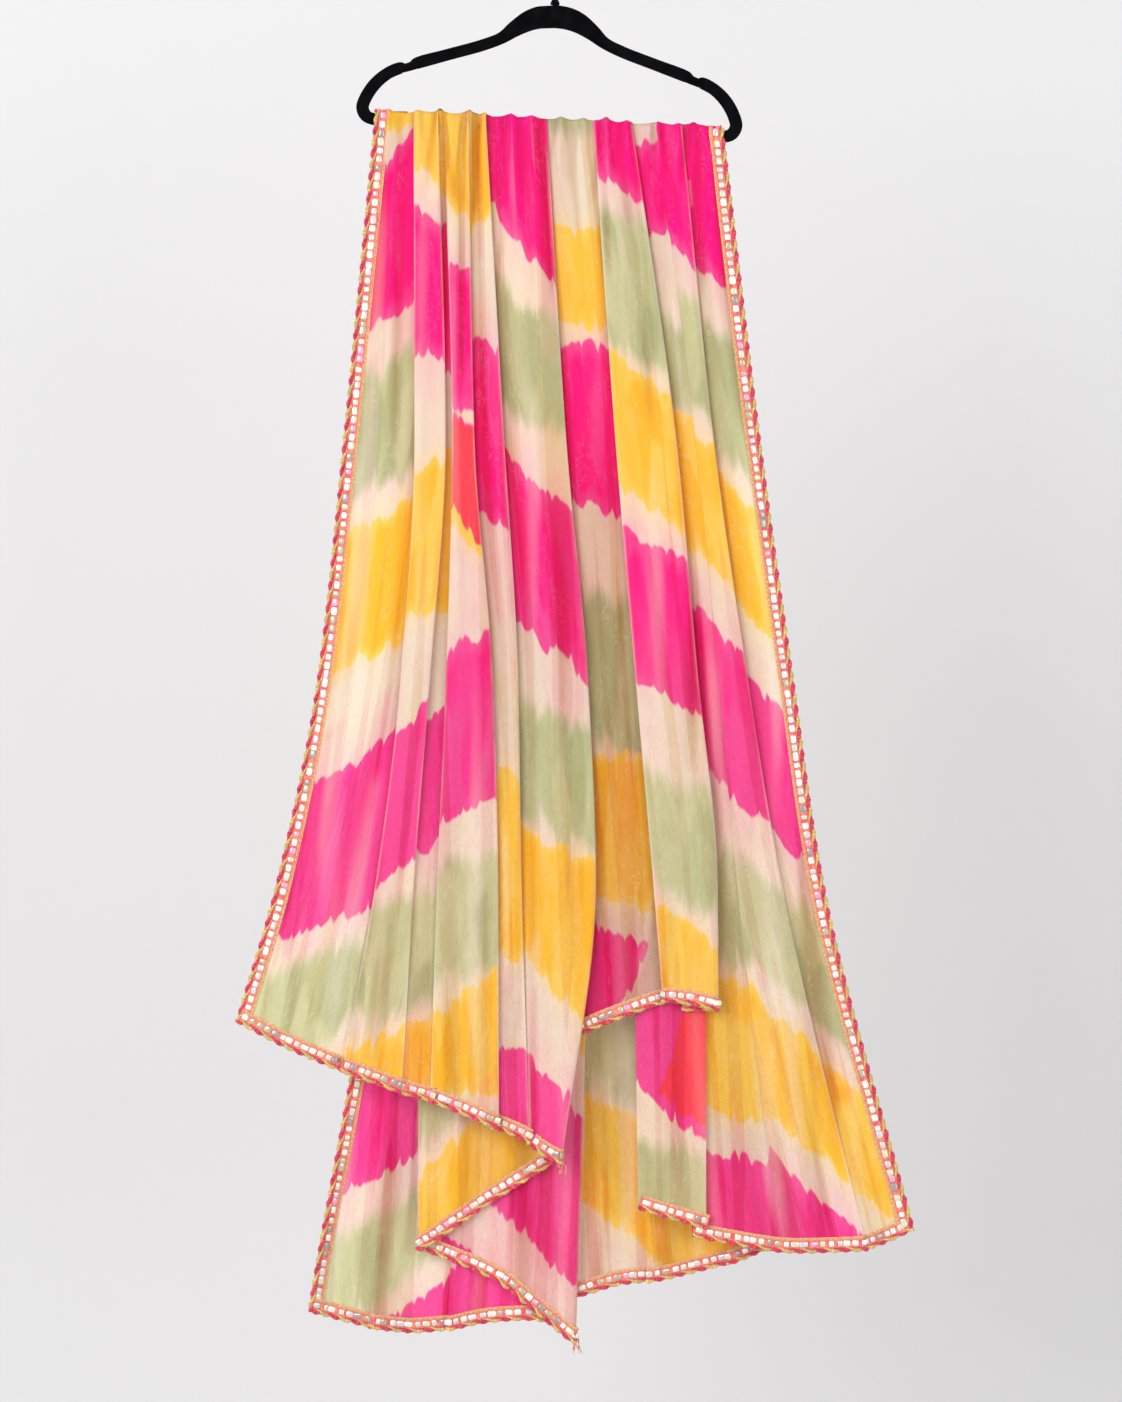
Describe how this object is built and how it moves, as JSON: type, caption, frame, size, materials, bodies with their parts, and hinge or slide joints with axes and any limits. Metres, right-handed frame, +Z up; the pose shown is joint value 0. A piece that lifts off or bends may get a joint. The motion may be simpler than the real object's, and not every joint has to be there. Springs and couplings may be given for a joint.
{
  "type": "dupatta stole on hanger",
  "caption": "Long sheer dupatta stole with diagonal dyed bands and a mirrored lace border, laid over the bar of a slim flocked hanger so that it hangs in pleated falls front and back.",
  "frame": {"origin": "inside top of the hanger's hook, where it hangs on a rail", "axes": "+Z up, -Y out of the front fall towards the viewer, +X to the viewer's right"},
  "size_m": [0.7762, 0.072, 1.6006],
  "materials": {
    "chiffon": "sheer crinkled chiffon, dyed in soft diagonal bands of pink, cream, sage and yellow",
    "lace": "woven lace tape with small square mirrors and a twisted braid edge",
    "flock": "black velvet flock on a moulded core",
    "steel": "polished steel wire"
  },
  "bodies": {
    "root": {"hanger_body": "flock", "hook_collar": "flock", "hook": "steel", "cloth_front_left": "chiffon", "lace_hem_front_left": "lace", "cloth_front_middle": "chiffon", "lace_hem_front_middle": "lace", "cloth_front_inner": "chiffon", "lace_hem_front_inner": "lace", "cloth_front_right": "chiffon", "lace_hem_front_right": "lace", "cloth_back_left": "chiffon", "lace_hem_back_left": "lace", "cloth_back_right": "chiffon", "lace_hem_back_right": "lace", "lace_edge_front_left": "lace", "lace_edge_front_right": "lace", "lace_edge_back_left": "lace", "lace_edge_back_right": "lace"}
  },
  "joints": []
}
